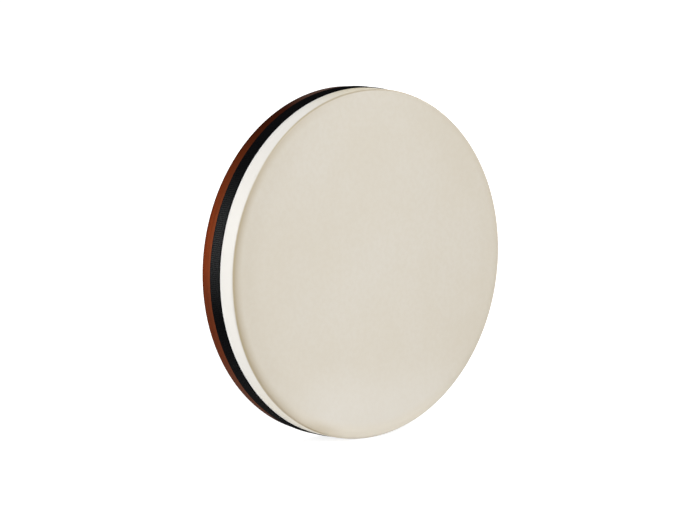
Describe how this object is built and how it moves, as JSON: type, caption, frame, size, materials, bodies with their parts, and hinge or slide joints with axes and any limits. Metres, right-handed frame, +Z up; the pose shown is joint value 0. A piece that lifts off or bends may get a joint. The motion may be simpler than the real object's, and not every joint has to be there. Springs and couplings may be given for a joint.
{
  "type": "bendir frame drum",
  "caption": "Round frame drum: a bent wooden hoop with a pale glued head, a black woven trim tape, snare strings behind the head and a thumb hole for holding it.",
  "frame": {"origin": "on the surface under the standing drum, at the middle of its width and depth", "axes": "+Z up; -Y out of the head, along the drum's axis; +X to the right seen from the front"},
  "size_m": [0.4598, 0.0646, 0.4596],
  "materials": {
    "stained_wood": "reddish-brown stain under a thin satin lacquer",
    "head_film": "pale cream synthetic skin, matt face with a soft sheen",
    "woven_tape": "black finely woven tape",
    "snare_gut": "translucent straw-coloured twisted string"
  },
  "bodies": {
    "root": {"frame_hoop": "stained_wood", "drum_head": "head_film", "trim_band": "woven_tape", "snare_string_1": "snare_gut", "snare_string_2": "snare_gut", "snare_string_3": "snare_gut"}
  },
  "joints": []
}
